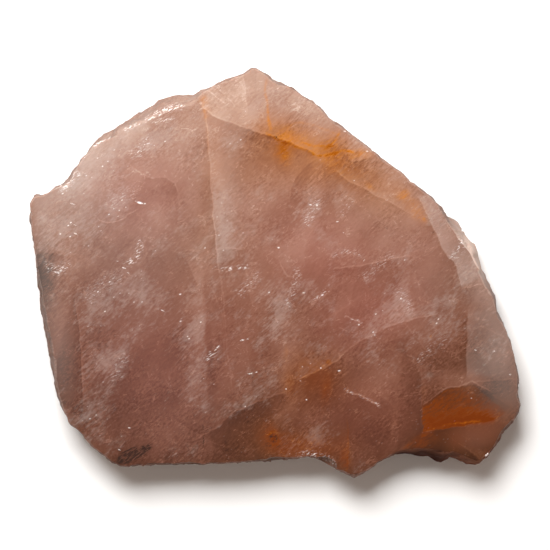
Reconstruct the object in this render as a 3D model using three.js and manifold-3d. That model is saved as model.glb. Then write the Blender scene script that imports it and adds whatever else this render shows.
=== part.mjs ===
// A slice of rose quartz: one flat slab sawn from a rough block, polished on its upper face, with the broken
// natural rim left all the way round. It lies on its sawn underside. Millimetres, +Z up, +X along the slice.
import * as THREE from "three";
import { mergeVertices } from "three/addons/utils/BufferGeometryUtils.js";
import Module from "manifold-3d";

const THICKNESS = 16;
const ARRIS = 0.5; // rounding where the polished face meets the rim
const STEP = 1.9; // spacing of the points round the rim
const CHORD = 6; // the way out of the stone is taken square to a chord this far to either side
const WALL_ROWS = 10; // rows of points down the rim
const WOBBLE = 0.3; // unevenness of the outline from point to point
const CHIP_DETAIL = 5;

// The rim swells from the polished face to its widest line, then draws in towards the underside.
const WIDEST_SHARE = 0.2; // how far down the widest line is with no lip, as a share of the thickness
const WIDEST_DROP = 0.5; // how much further down it goes as the lip grows
const LIP_CURVE = 1.3;
const FOOT_CURVE = 1.6;

// The flat breaks that make up the rim, large ones with smaller ones across them: how long and how high they
// are, how far they lie in or out, how steeply they tilt, and how much they slant as they go down.
const LARGE_BREAKS = { long: 24, high: 11, depth: 2, tilt: 0.26, slant: 0.8, seed: 1 };
const SMALL_BREAKS = { long: 9, high: 5.5, depth: 0.8, tilt: 0.3, slant: -0.6, seed: 2 };
const RIDGE_SHARPNESS = 16; // how sharply one break turns into the next
const BREAKS_PROUD = 0.4; // how far a break may stand out past the drawn outline
const BREAKS_GROWTH = 0.8; // they are shallow near the polished face and deepen downwards

// The widest outline, clockwise from the left-hand corner. Each point also says how far the polished face
// stops short of it (lip) and how far the underside does (foot).
const RIM = [
  { x: -99.3, y: 29.8, lip: 0.9, foot: 1.5 },
  { x: -97.2, y: 31.4, lip: 0.9, foot: 2 },
  { x: -94, y: 31.6, lip: 0.8, foot: 2 },
  { x: -89, y: 35, lip: 1.4, foot: 2 },
  { x: -85.4, y: 37.4, lip: 2.8, foot: 1.5 },
  { x: -82, y: 41.7, lip: 1.2, foot: 1.5 },
  { x: -78, y: 47, lip: 1, foot: 2 },
  { x: -75.6, y: 51, lip: 1.4, foot: 2 },
  { x: -72.8, y: 54.4, lip: 2.6, foot: 1.5 },
  { x: -70.2, y: 56, lip: 3, foot: 1.5 },
  { x: -66.6, y: 57.6, lip: 3, foot: 2 },
  { x: -63.8, y: 60.7, lip: 3.6, foot: 1.5 },
  { x: -59.7, y: 62.9, lip: 4.4, foot: 1 },
  { x: -54.8, y: 65.4, lip: 5, foot: 1 },
  { x: -50, y: 68.7, lip: 5.8, foot: 1 },
  { x: -46.5, y: 70.5, lip: 6, foot: 1 },
  { x: -40, y: 72.2, lip: 5.4, foot: 1.5 },
  { x: -34.4, y: 72.3, lip: 4.6, foot: 1.5 },
  { x: -30.4, y: 74.1, lip: 1.8, foot: 2 },
  { x: -25.5, y: 75.6, lip: 1, foot: 2.5 },
  { x: -20.2, y: 78.2, lip: 0.8, foot: 3 },
  { x: -15, y: 79.6, lip: 0.9, foot: 3 },
  { x: -12, y: 81.2, lip: 0.8, foot: 3 },
  { x: -9.2, y: 83.1, lip: 0.7, foot: 3 },
  { x: -4.3, y: 80.9, lip: 0.8, foot: 2.5 },
  { x: 1.4, y: 77.3, lip: 1.4, foot: 2 },
  { x: 4.8, y: 75.8, lip: 0.6, foot: 2 },
  { x: 8, y: 74.5, lip: 0.5, foot: 2.5 },
  { x: 12, y: 71.5, lip: 0.6, foot: 2.5 },
  { x: 18.2, y: 67.6, lip: 0.8, foot: 2 },
  { x: 21, y: 64.8, lip: 1.4, foot: 1.5 },
  { x: 27.1, y: 60.3, lip: 1.8, foot: 1.5 },
  { x: 31.6, y: 56.4, lip: 1.2, foot: 2 },
  { x: 37.7, y: 51.2, lip: 0.6, foot: 2.5 },
  { x: 43.4, y: 46.4, lip: 0.7, foot: 2.5 },
  { x: 50.4, y: 41.2, lip: 0.5, foot: 3 },
  { x: 55.3, y: 36.6, lip: 0.5, foot: 3 },
  { x: 60.2, y: 33.1, lip: 0.5, foot: 3 },
  { x: 64.6, y: 29.4, lip: 0.5, foot: 2.5 },
  { x: 67.5, y: 26.3, lip: 0.7, foot: 2 },
  { x: 71.2, y: 22.1, lip: 2, foot: 1.5 },
  { x: 75.2, y: 20.4, lip: 4.2, foot: 1 },
  { x: 78.2, y: 17, lip: 4.8, foot: 1 },
  { x: 83.4, y: 9.4, lip: 4.4, foot: 0.8 },
  { x: 84.1, y: 6, lip: 3.4, foot: 0.8 },
  { x: 85, y: 0.7, lip: 2.2, foot: 1 },
  { x: 87.9, y: -5.8, lip: 2.2, foot: 1 },
  { x: 90.3, y: -10.7, lip: 2, foot: 1 },
  { x: 91.3, y: -16, lip: 1.5, foot: 1.5 },
  { x: 94.8, y: -23.3, lip: 1.3, foot: 1.5 },
  { x: 96.5, y: -29, lip: 1.1, foot: 1.5 },
  { x: 98.3, y: -34, lip: 1.1, foot: 2 },
  { x: 99.5, y: -44, lip: 0.8, foot: 2 },
  { x: 98.9, y: -49.4, lip: 0.7, foot: 2.5 },
  { x: 100, y: -55.5, lip: 0.6, foot: 3 },
  { x: 96.5, y: -61.2, lip: 0.8, foot: 3 },
  { x: 92.8, y: -66.1, lip: 1.2, foot: 2 },
  { x: 90.6, y: -71.4, lip: 1.6, foot: 1.5 },
  { x: 86.7, y: -75.9, lip: 2, foot: 1 },
  { x: 83.8, y: -79.2, lip: 2.4, foot: 1 },
  { x: 80.5, y: -79.8, lip: 3, foot: 0.8 },
  { x: 75.2, y: -78.2, lip: 3.4, foot: 0.8 },
  { x: 71.6, y: -76.7, lip: 3.6, foot: 0.8 },
  { x: 67.9, y: -78, lip: 4.4, foot: 0.8 },
  { x: 63.8, y: -76.5, lip: 4, foot: 0.8 },
  { x: 56.2, y: -75.7, lip: 3.6, foot: 1 },
  { x: 47.5, y: -75.5, lip: 1.2, foot: 2 },
  { x: 42.2, y: -78, lip: 0.5, foot: 3 },
  { x: 35.7, y: -82.3, lip: 0.6, foot: 3.5 },
  { x: 30.8, y: -83.1, lip: 0.6, foot: 3.5 },
  { x: 25.5, y: -80.9, lip: 0.6, foot: 3 },
  { x: 19, y: -77.3, lip: 0.8, foot: 2.5 },
  { x: 13.7, y: -75.9, lip: 0.8, foot: 2.5 },
  { x: 8.8, y: -76, lip: 0.6, foot: 2.5 },
  { x: -4, y: -77.2, lip: 0.6, foot: 3 },
  { x: -27.5, y: -78.4, lip: 0.4, foot: 3.5 },
  { x: -48.7, y: -78.6, lip: 0.4, foot: 3.5 },
  { x: -63.8, y: -79.2, lip: 0.4, foot: 4 },
  { x: -69, y: -75.4, lip: 0.4, foot: 3.5 },
  { x: -75.2, y: -70.2, lip: 0.4, foot: 3 },
  { x: -79.3, y: -65.5, lip: 0.5, foot: 3 },
  { x: -83.4, y: -62.5, lip: 0.5, foot: 2.5 },
  { x: -86.2, y: -56.8, lip: 0.8, foot: 2 },
  { x: -89.9, y: -48.6, lip: 2, foot: 1.2 },
  { x: -92.3, y: -35.7, lip: 3, foot: 0.8 },
  { x: -94.8, y: -21.7, lip: 2.6, foot: 0.8 },
  { x: -96.4, y: -10.7, lip: 2.2, foot: 0.8 },
  { x: -98, y: 2.8, lip: 1.5, foot: 1 },
  { x: -99.4, y: 13.8, lip: 1.2, foot: 1 },
  { x: -100, y: 22.8, lip: 1, foot: 1.2 },
];

// Small chips along the edge of the polished face: where each one is centred, its three radii and its turn
// about Z. They all open onto the face, so their centres lie close to it.
const EDGE_CHIPS = [
  { at: [19.6, -80.2, 17], size: [6, 5.4, 5], turn: -0.42 },
  { at: [15.4, -78.8, 16.6], size: [4, 4.2, 3.6], turn: -0.1 },
  { at: [0.5, -80, 16.8], size: [8, 5, 4.4], turn: 0.06 },
  { at: [-37, -81.6, 16.4], size: [13, 4.4, 3.4], turn: 0.02 },
  { at: [53, -80.6, 16.4], size: [11, 7, 8], turn: -0.06 },
  { at: [69.5, -82, 14.5], size: [8, 6.4, 7], turn: 0.2 },
  { at: [81.4, 13.6, 17], size: [5, 11, 6.5], turn: 0.6 },
  { at: [27.8, 62.8, 16], size: [7, 2.6, 3], turn: -0.68 },
  { at: [2.6, 79.2, 16], size: [4, 3, 3], turn: -0.5 },
  { at: [-41, 77, 17.4], size: [13, 8.6, 7], turn: 0.16 },
  { at: [-57, 70.4, 17.2], size: [10, 8, 6.6], turn: 0.52 },
  { at: [-73.6, 58.4, 16.2], size: [6, 4.6, 4], turn: 0.62 },
  { at: [-86.8, 40.4, 15.8], size: [5, 4, 3.4], turn: 0.8 },
  { at: [-96.4, -34, 16.4], size: [5, 17, 6], turn: 0.16 },
];

// A number from 0 to 1 that is always the same for the same three whole numbers.
function fixedRandom(a, b, c) {
  const wave = Math.sin(a * 127.1 + b * 311.7 + c * 74.7 + 19.3) * 43758.5453;
  return wave - Math.floor(wave);
}

// The rim as evenly spaced stations: its point, the way out of the stone, and the lip and foot there.
function rimStations() {
  const curve = new THREE.CatmullRomCurve3(
    RIM.map(({ x, y }) => new THREE.Vector3(x, y, 0)),
    true,
    "centripetal",
  );
  const sections = new THREE.CatmullRomCurve3(
    RIM.map(({ lip, foot }) => new THREE.Vector3(lip, foot, 0)),
    true,
    "centripetal",
  );
  const length = curve.getLength();
  const count = Math.round(length / STEP);
  const reach = CHORD / length;
  return Array.from({ length: count }, (_, i) => {
    const t = curve.getUtoTmapping(i / count);
    const before = curve.getPointAt((i / count - reach + 1) % 1);
    const after = curve.getPointAt((i / count + reach) % 1);
    const out = new THREE.Vector2(before.y - after.y, after.x - before.x).normalize(); // it runs clockwise
    const { x: lip, y: foot } = sections.getPoint(t);
    const point = curve.getPoint(t);
    const wobble = WOBBLE * (fixedRandom(i, 0, 0) - 0.5);
    return {
      point: new THREE.Vector2(point.x, point.y).addScaledVector(out, wobble),
      out,
      along: (i / count) * length,
      length,
      lip: Math.max(lip, 0.3),
      foot: Math.max(foot, 0.5),
    };
  });
}

// How deep one flat break lies, at a place so far along and so far down from its middle.
function breakLevel(column, row, along, down, { depth, tilt, seed }) {
  const alongTilt = tilt * (fixedRandom(column, row, seed) - 0.5);
  const downTilt = 2 * tilt * (fixedRandom(column, row, seed + 10) - 0.5);
  return depth * (fixedRandom(column, row, seed + 20) - 0.4) + along * alongTilt + down * downTilt;
}

// How deep the broken surface lies at a place on the rim. Each break rules near its own middle and gives way
// to its neighbours over a short ridge.
function breakDepth(along, down, length, breaks) {
  const { long, high, slant, seed } = breaks;
  const columns = Math.round(length / long);
  const width = length / columns;
  const slanted = along + slant * down + length;
  let weights = 0;
  let levels = 0;
  for (let c = -1; c <= 1; c++) {
    for (let r = -1; r <= 1; r++) {
      const column = Math.floor(slanted / width) + c;
      const row = Math.floor(down / high) + r;
      const name = column % columns;
      const x = slanted - (column + 0.1 + 0.8 * fixedRandom(name, row, seed + 30)) * width;
      const y = down - (row + 0.1 + 0.8 * fixedRandom(name, row, seed + 40)) * high;
      const weight = Math.exp(-RIDGE_SHARPNESS * ((x / width) ** 2 + (y / high) ** 2));
      weights += weight;
      levels += weight * breakLevel(name, row, x, y, breaks);
    }
  }
  return levels / weights;
}

// How far inside the widest outline the rim is, at a share of the way from polished face to underside.
function insetAt({ lip, foot, along, length }, share) {
  const widest = WIDEST_SHARE + (WIDEST_DROP * lip) / (lip + foot);
  const swell =
    share < widest
      ? lip * (1 - share / widest) ** LIP_CURVE
      : foot * ((share - widest) / (1 - widest)) ** FOOT_CURVE;
  const down = share * THICKNESS;
  const breaks =
    breakDepth(along, down, length, LARGE_BREAKS) + breakDepth(along, down, length, SMALL_BREAKS);
  return swell + Math.max(breaks, -BREAKS_PROUD) * share ** BREAKS_GROWTH;
}

// The rows of the rim as shares of the thickness, closer together near the polished face's edge.
function rowShares() {
  const arris = ARRIS / THICKNESS;
  const rows = Array.from({ length: WALL_ROWS }, (_, i) => (i + 1) / WALL_ROWS);
  return [0, arris, ...rows];
}

// The sawn slab with its broken rim: a drum with one side for each station, its vertices moved out to the
// rim. Only the middle of each flat face stays where it is.
function slabGeometry() {
  const stations = rimStations();
  const shares = rowShares();
  const sides = stations.length;
  const rows = shares.length - 1;
  const geometry = new THREE.CylinderGeometry(1, 1, 1, sides, rows).rotateX(Math.PI / 2);
  const positions = geometry.attributes.position;
  for (let v = 0; v < positions.count; v++) {
    const corner = new THREE.Vector3().fromBufferAttribute(positions, v);
    const clockwise = Math.atan2(corner.x, corner.y) / (2 * Math.PI);
    const station = stations[Math.round((clockwise + 1) * sides) % sides];
    const share = shares[Math.round((0.5 - corner.z) * rows)];
    const inset = insetAt(station, share) + (share === 0 ? ARRIS : 0);
    const rim = station.point.clone().addScaledVector(station.out, -inset);
    rim.multiplyScalar(Math.round(Math.hypot(corner.x, corner.y)));
    positions.setXYZ(v, rim.x, rim.y, THICKNESS * (1 - share));
  }
  return geometry;
}

function chipGeometry({ at, size, turn }) {
  const geometry = new THREE.IcosahedronGeometry(1, CHIP_DETAIL);
  geometry.scale(...size).rotateZ(turn);
  return geometry.translate(...at);
}

// A closed geometry as a solid that others can be cut from.
function solidOf(wasm, geometry) {
  const bare = geometry.clone();
  bare.deleteAttribute("normal");
  bare.deleteAttribute("uv");
  const merged = mergeVertices(bare, 1e-4);
  return new wasm.Manifold(
    new wasm.Mesh({
      numProp: 3,
      vertProperties: merged.attributes.position.array,
      triVerts: new Uint32Array(merged.index.array),
    }),
  );
}

function geometryOf(solid) {
  const mesh = solid.getMesh();
  const geometry = new THREE.BufferGeometry();
  geometry.setAttribute("position", new THREE.BufferAttribute(mesh.vertProperties, 3));
  geometry.setIndex(new THREE.BufferAttribute(mesh.triVerts, 1));
  geometry.computeVertexNormals();
  return geometry;
}

const wasm = await Module();
wasm.setup();

const slice = EDGE_CHIPS.reduce(
  (stone, chip) => stone.subtract(solidOf(wasm, chipGeometry(chip))),
  solidOf(wasm, slabGeometry()),
);

// The origin is under the middle of the slice, on its underside.
const geometry = geometryOf(slice).center();
geometry.translate(0, 0, THICKNESS / 2);

const roseQuartz = new THREE.MeshStandardMaterial({ color: 0xb78474, roughness: 0.25, metalness: 0 });
const stone = new THREE.Mesh(geometry, roseQuartz);
stone.name = "rose_quartz_slice";

const part = new THREE.Group();
part.add(stone);
export default part;
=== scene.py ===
"""A slice of rose quartz lying on a pale table: polished upper face, broken natural rim, sawn underside."""

import math

import bmesh
import bpy
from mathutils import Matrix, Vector, noise


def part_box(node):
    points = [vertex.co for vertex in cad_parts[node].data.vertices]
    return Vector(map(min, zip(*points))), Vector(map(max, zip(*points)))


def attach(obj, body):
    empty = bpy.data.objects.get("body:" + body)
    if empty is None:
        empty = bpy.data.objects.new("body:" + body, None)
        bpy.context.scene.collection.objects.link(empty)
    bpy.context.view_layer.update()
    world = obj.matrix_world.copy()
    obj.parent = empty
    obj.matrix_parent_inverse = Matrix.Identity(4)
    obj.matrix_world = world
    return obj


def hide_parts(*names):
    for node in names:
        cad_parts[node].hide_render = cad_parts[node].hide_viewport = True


MM = 0.001
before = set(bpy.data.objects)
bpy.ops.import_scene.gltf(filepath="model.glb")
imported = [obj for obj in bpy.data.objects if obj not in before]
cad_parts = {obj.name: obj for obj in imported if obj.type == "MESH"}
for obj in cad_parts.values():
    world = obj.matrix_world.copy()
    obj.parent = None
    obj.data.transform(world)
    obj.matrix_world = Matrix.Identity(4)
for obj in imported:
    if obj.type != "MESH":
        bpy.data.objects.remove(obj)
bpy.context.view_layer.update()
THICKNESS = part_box("rose_quartz_slice")[1].z
FACE_HEIGHT = THICKNESS / MM  # of the polished face, in mm
QUARTZ_IOR = 1.54

POLISHED, BROKEN, SAWN, SHADED_WALL = range(4)
SHADED_WALL_SPAN, SHADED_WALL_TOP = (43, 93), -60  # the reach in x of the wall painted dark with shade, and the highest y it comes to, in mm
ON_FACE = 0.01 * MM  # how near to a flat face counts as on it
WELD = 0.001 * MM  # points nearer than this are one
LEVEL = math.radians(0.2)  # faces that turn less than this are one flat face
RIDGE = math.radians(28)  # an edge of the rim that turns more than this is sharp
CHIPS = [(5.0, 0.6), (2.4, 0.32), (1.2, 0.14)]  # the rim's chips: how wide, and how far in or out at most
CHIP_TILT = 2  # how steeply a chip tilts, for its width
CHIP_SPREAD = 7.3  # takes neighbouring chips far apart in the noise, so that they tilt unlike each other
CHIP_SHARE_ON_FACE = 0.4  # a flat face's outline moves less than the rim below it
RIM_SEED = 5  # so that the chips fall alike every time
BLADE_CENTRE = (-70, -190, 0)  # of the saw that cut the underside, in mm
SAW_PITCH = 2.4  # from one score to the next, in mm

# -------------------- camera, light and table

VIEW_WIDTH = 224.3 * MM  # what the camera takes in, at the height that it is aimed at
AIM = (0.2 * MM, -1.3 * MM, 11 * MM)
LENS_MM, SENSOR_MM = 135, 36


def set_camera():
    """Straight above the slice, looking down on it."""
    data = bpy.data.cameras.new("camera")
    data.lens, data.sensor_width = LENS_MM, SENSOR_MM
    data.clip_start, data.clip_end = 0.01, 50
    camera = bpy.data.objects.new("camera", data)
    camera.location = (AIM[0], AIM[1], AIM[2] + VIEW_WIDTH * LENS_MM / SENSOR_MM)
    bpy.context.scene.collection.objects.link(camera)
    bpy.context.scene.camera = camera


def add_softbox(name, place, size, watts, colour=(1, 1, 1)):
    """A flat soft lamp that faces the slice."""
    data = bpy.data.lights.new(name, "AREA")
    data.shape, data.size, data.size_y = "RECTANGLE", size[0], size[1]
    data.energy, data.color = watts, colour
    light = bpy.data.objects.new(name, data)
    light.location = place
    light.rotation_euler = (-Vector(place)).to_track_quat("-Z", "Y").to_euler()
    bpy.context.scene.collection.objects.link(light)


def set_light():
    """A large softbox beyond the crown and a weak warm one in front, in a room that is pale low down."""
    add_softbox("key", place=(-0.22, 0.64, 0.80), size=(0.64, 0.56), watts=18.4)
    add_softbox("front_fill", place=(0.3, -1.2, 0.8), size=(0.9, 0.9), watts=1.6, colour=(1, 0.9, 0.82))
    world = bpy.data.worlds.new("room")
    world.use_nodes = True
    tree = world.node_tree
    way = add(tree, "TexCoord", {}, "Generated")
    height = add(tree, "SeparateXYZ", {"Vector": way}, "Z")
    room = [(0, "#ead8cf"), (0.15, "#cbbab1"), (0.5, "#8d8077"), (1, "#625953")]
    glow = add(tree, "ValToRGB", {"Fac": height}, stops=room)
    tree.links.new(glow, tree.nodes["Background"].inputs["Color"])
    bpy.context.scene.world = world


def set_table():
    """A wide white card for the slice to lie on."""
    shape = bmesh.new()
    bmesh.ops.create_circle(shape, cap_ends=True, radius=8, segments=64)
    mesh = bpy.data.meshes.new("table")
    shape.to_mesh(mesh)
    shape.free()
    card = bpy.data.materials.new("white_card")
    card.use_nodes = True
    shader = card.node_tree.nodes["Principled BSDF"]
    shader.inputs["Base Color"].default_value = linear("#fafaf9")
    shader.inputs["Roughness"].default_value = 0.9
    mesh.materials.append(card)
    table = bpy.data.objects.new("table", mesh)
    bpy.context.scene.collection.objects.link(table)


# -------------------- nodes
# Sockets are named by number where the name is long or shared. A Map Range's 0 to 4 are its value, the two
# ends that it runs between and what they become. A colour Mix's 0, 6 and 7 are the share of the second
# colour, and the two colours. It comes out at 2.

# A Map Range that eases in and out, and so never runs past its ends.
SOFT = {"interpolation_type": "SMOOTHSTEP", "clamp": False}


def linear(hex_colour):
    """An sRGB hex colour as linear red, green, blue and alpha."""
    channels = [int(hex_colour[i : i + 2], 16) / 255 for i in (1, 3, 5)]
    return [c / 12.92 if c <= 0.04045 else ((c + 0.055) / 1.055) ** 2.4 for c in channels] + [1]


def add(tree, kind, inputs, out=0, stops=(), knots=(), bend="AUTO", **settings):
    """Adds a shader node, sets it, sets or links its inputs, and gives back one of its outputs."""
    node = tree.nodes.new("ShaderNode" + kind)
    for name, value in settings.items():
        setattr(node, name, value)
    for name, value in inputs.items():
        if isinstance(value, bpy.types.NodeSocket):
            tree.links.new(value, node.inputs[name])
        else:
            node.inputs[name].default_value = value
    if stops:
        set_stops(node.color_ramp, stops)
    if knots:
        set_knots(node.mapping, knots, bend)
    return node.outputs[out]


def set_stops(ramp, stops):
    """A ramp's stops, each a place from 0 to 1 and a hex colour."""
    while len(ramp.elements) < len(stops):
        ramp.elements.new(0.5)
    for element, (place, colour) in zip(ramp.elements, stops):
        element.position = place
        element.color = linear(colour)


def set_knots(mapping, knots, bend):
    """A curve's knots, in any units. It is level beyond its ends."""
    mapping.use_clip = False
    mapping.extend = "HORIZONTAL"
    line = mapping.curves[0]
    while len(line.points) < len(knots):
        line.points.new(0.5, 0.5)
    for point, knot in zip(line.points, sorted(knots)):
        point.location = knot
        point.handle_type = bend
    mapping.update()


def stone_place(tree):
    """Where a point of the stone is, in millimetres."""
    metres = add(tree, "TexCoord", {}, "Object")
    return add(tree, "VectorMath", {0: metres, 3: 1 / MM}, operation="SCALE")


def reach(tree, vector, direction=(0, 0, 1)):
    """How far a place lies, or a direction points, along another direction, which is up if not given."""
    return add(tree, "VectorMath", {0: vector, 1: direction}, "Value", operation="DOT_PRODUCT")


def grain(tree, place, size, detail, roughness=0.6, turn=0, swirl=0.0):
    """Fractal grain whose features are so many millimetres long, wide and deep, turned in plan."""
    stretched = {"Vector": place, "Rotation": (0, 0, math.radians(turn)), "Scale": size}
    stretched = add(tree, "Mapping", stretched, vector_type="TEXTURE")
    fractal = {"Vector": stretched, "Scale": 1, "Detail": detail, "Roughness": roughness, "Distortion": swirl}
    return add(tree, "TexNoise", fractal)


# -------------------- what lies in the stone
# Everything below is laid out in millimetres, as seen from above, with the crown at the top (+Y).

SHARP = "VECTOR"  # how a line bends where its corners aren't rounded
RIGHT_THROUGH = 1000  # so deep that a patch goes straight down through the slice
LONGEST_FADE = 0.45  # of a line's length, that it fades over at each end


class Layout:
    """Draws patches, fracture lines and panels as values from 0 to 1 over a place in millimetres."""

    def __init__(self, tree, place):
        self.tree, self.place = tree, place
        # all the patches share this node, because a shader has no room for a conversion in each of them
        self.pattern_place = add(tree, "Mapping", {"Vector": place})

    def patch(self, x, y, wide, high, turn=0, core=0):
        """A soft oval patch."""
        local = {"Vector": self.pattern_place, "Location": (x, y, 0), "Scale": (wide, high, RIGHT_THROUGH)}
        local["Rotation"] = (0, 0, math.radians(turn))
        local = add(self.tree, "Mapping", local, vector_type="TEXTURE")
        ball = add(self.tree, "TexGradient", {"Vector": local}, "Fac", gradient_type="SPHERICAL")
        return add(self.tree, "MapRange", {0: ball, 1: 0, 2: 1 - core}, **SOFT)

    def spot(self, x, y, wide, high, turn=0):
        """An oval patch with firm edges."""
        return self.patch(x, y, wide, high, turn, core=0.5)

    def fracture(self, points, across, ends=3.0, bend="AUTO"):
        """A line through points, with what lies across it given as (mm to its left, value) pairs."""
        points = [Vector(p) for p in points]
        along = (points[-1] - points[0]).normalized()
        left = Vector((-along.y, along.x))
        forward = reach(self.tree, self.place, along.to_3d())
        sideways = reach(self.tree, self.place, left.to_3d())
        line = [(p.dot(along), p.dot(left)) for p in points]
        line = add(self.tree, "FloatCurve", {"Value": forward}, knots=line, bend=bend)
        offset = add(self.tree, "Math", {0: sideways, 1: line}, operation="SUBTRACT")
        profile = [(across[0][0] - 1, 0), *across, (across[-1][0] + 1, 0)]
        profile = add(self.tree, "FloatCurve", {"Value": offset}, knots=profile, bend=SHARP)
        first, last = points[0].dot(along), points[-1].dot(along)
        tip = min(ends, (last - first) * LONGEST_FADE)
        span = [(first - 1, 0), (first, 0), (first + tip, 1), (last - tip, 1), (last, 0), (last + 1, 0)]
        window = add(self.tree, "FloatCurve", {"Value": forward}, knots=span, bend="AUTO_CLAMPED")
        return add(self.tree, "Math", {0: profile, 1: window}, operation="MULTIPLY")

    def panel(self, corners, soft=0.4):
        """The inside of a panel with straight sides, its corners given anticlockwise."""
        inside = None
        for a, b in zip(corners, corners[1:] + corners[:1]):
            along = (Vector(b) - Vector(a)).normalized()
            inward = Vector((-along.y, along.x))
            level = inward.dot(Vector(a))
            side = {0: reach(self.tree, self.place, inward.to_3d()), 1: level - soft, 2: level + soft}
            side = add(self.tree, "MapRange", side, **SOFT)
            if inside is not None:
                side = add(self.tree, "Math", {0: inside, 1: side}, operation="MULTIPLY")
            inside = side
        return inside

    def total(self, start, draw, rows):
        """Adds up what each row draws. A row starts with its strength, in hundredths."""
        for strength, *shape in rows:
            start = {0: draw(*shape), 1: strength / 100, 2: start}
            start = add(self.tree, "Math", start, operation="MULTIPLY_ADD")
        return start


def veil(width, line=1.0, body=0.75):
    """A healed fracture seen from one side: a sharp edge that fades away to its left."""
    return [(-0.35, 0), (0.1, line), (0.7, body), (width * 0.4, body * 0.5), (width, 0)]


def hair(width):
    """A line that fades away on both sides."""
    return [(-width, 0), (0, 1), (width, 0)]


def band(left, right, core=2):
    """A streak that is even over its core and fades away so many millimetres to its left and right."""
    return [(-left, 0), (-core, 1), (core, 1), (right, 0)]


# Lines that several of the rows below follow.
CROWN_EDGE = [
    (-31, 69), (-25, 63.5), (-20, 61), (-12, 58.6), (-4, 56), (1, 54.4), (7, 52.4), (13, 49.6),
    (18, 46.6),
]
CROWN_BEND = [(18, 46.5), (11.5, 41.5), (8, 36.5), (6.4, 28)]
PALE_SHEET = [(23, 42), (29, 38), (33, 35.6), (40, 31.8), (46, 28.6), (53, 24.6), (59, 22)]
LEFT_ARC = [(-53.5, 39.6), (-50, 38.2), (-44, 38.6), (-40.5, 35.4)]
LEFT_BOWL = [(-73, 23.4), (-71, 21.2), (-67.5, 19.8), (-63.5, 20.6), (-59, 23.2), (-54.5, 26)]
MIDDLE_CREASE = [(22, 0.8), (30, 2), (37, 3), (48, 5.4), (57, 6.8)]
CURVED_WALL = [
    (76, -7), (75, -3), (74, 1), (73.2, 3.8), (70.6, 5.6), (68.4, 9.4), (66.4, 14), (63.4, 20.4),
    (60.4, 26.6), (57.6, 31),
]
GLASSY_SIDE = [*CURVED_WALL[:1:-1], CURVED_WALL[0]]
DIAGONAL = [
    (8, -44.6), (13, -42), (19, -39.6), (26, -35.4), (31, -30.4), (40, -25.2), (50, -20.6),
    (58, -18.6), (68, -17),
]
BRANCH = [(52, -20), (57.6, -26.4), (63.6, -33.6), (70, -39)]
FOOT_WAVE = [
    (-35, -69.5), (-28, -65.6), (-23, -62.6), (-20, -60.2), (-17.4, -57.4), (-13, -55.4),
    (-7, -52.6), (0, -50), (6, -48),
]
SHORT_SCAR = [(28.4, -47.8), (31.5, -49.2), (35, -50.2), (38.4, -52), (42.6, -54.6)]
CORNER_FOOT = [(58, -66.8), (62, -64.2), (66, -62.6), (72, -61.8), (78, -61), (84, -60.6), (90, -60.4)]
CORNER_TOP = [(60, -54.4), (65, -50.4), (70, -46.8), (75, -46.4), (80, -44.4), (84.6, -46.8), (89, -49)]

# A row starts with its strength in hundredths, below nought where it makes the stone darker. A patch then
# has x, y, width and height, and its turn in degrees if it is turned. A fracture has the points along it,
# what lies across it, how far its ends fade if not 3 mm, and SHARP if its corners are sharp.

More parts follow.
